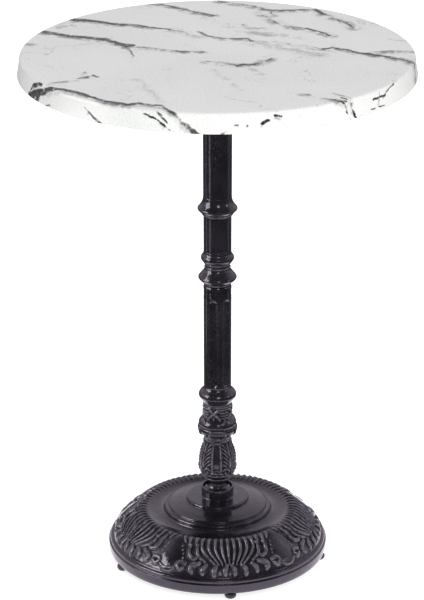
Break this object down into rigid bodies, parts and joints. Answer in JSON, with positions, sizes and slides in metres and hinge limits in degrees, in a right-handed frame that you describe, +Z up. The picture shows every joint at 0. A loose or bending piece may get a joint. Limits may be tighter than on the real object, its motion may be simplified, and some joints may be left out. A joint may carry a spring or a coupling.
{
  "type": "bistro table",
  "caption": "Tall round bistro table: moulded marble-print top with a down-turned rim, turned and fluted cast column, and a dished ornamental cast base on levelling feet.",
  "frame": {"origin": "on the floor, under the column's axis", "axes": "+Z up along the column; -Y is the front, as the picture sees it; +X to the right. The nearest levelling foot stands 7 degrees to the right of the front"},
  "size_m": [0.8, 0.8, 1.105],
  "materials": {
    "marble_print": "satin white melamine surface with a grey marble print",
    "black_enamel": "glossy black enamel on castings, with fine casting bumps",
    "black_plastic": "black moulded glide",
    "zinc_steel": "zinc-plated steel fastener"
  },
  "bodies": {
    "pedestal": {"table_top": "marble_print", "top_spider": "black_enamel", "top_screw_1": "zinc_steel", "top_screw_2": "zinc_steel", "top_screw_3": "zinc_steel", "top_screw_4": "zinc_steel", "top_screw_5": "zinc_steel", "top_screw_6": "zinc_steel", "top_screw_7": "zinc_steel", "top_screw_8": "zinc_steel", "upper_tube": "black_enamel", "bell_collar": "black_enamel", "plain_drum": "black_enamel", "double_knop": "black_enamel", "fluted_shaft": "black_enamel", "lower_knop": "black_enamel", "leaf_collar": "black_enamel", "baluster": "black_enamel", "base_casting": "black_enamel", "tie_rod": "zinc_steel", "top_nut": "zinc_steel", "top_washer": "zinc_steel", "bottom_nut": "zinc_steel", "bottom_washer": "zinc_steel"},
    "foot_1": {"foot_pad_1": "black_plastic", "foot_stud_1": "zinc_steel"},
    "foot_2": {"foot_pad_2": "black_plastic", "foot_stud_2": "zinc_steel"},
    "foot_3": {"foot_pad_3": "black_plastic", "foot_stud_3": "zinc_steel"},
    "foot_4": {"foot_pad_4": "black_plastic", "foot_stud_4": "zinc_steel"},
    "foot_5": {"foot_pad_5": "black_plastic", "foot_stud_5": "zinc_steel"}
  },
  "joints": [
    {"name": "foot_1_adjust", "type": "slide", "parent": "pedestal", "child": "foot_1", "axis": [0, 0, -1], "range_m": [0, 0.008]},
    {"name": "foot_2_adjust", "type": "slide", "parent": "pedestal", "child": "foot_2", "axis": [0, 0, -1], "range_m": [0, 0.008]},
    {"name": "foot_3_adjust", "type": "slide", "parent": "pedestal", "child": "foot_3", "axis": [0, 0, -1], "range_m": [0, 0.008]},
    {"name": "foot_4_adjust", "type": "slide", "parent": "pedestal", "child": "foot_4", "axis": [0, 0, -1], "range_m": [0, 0.008]},
    {"name": "foot_5_adjust", "type": "slide", "parent": "pedestal", "child": "foot_5", "axis": [0, 0, -1], "range_m": [0, 0.008]}
  ]
}
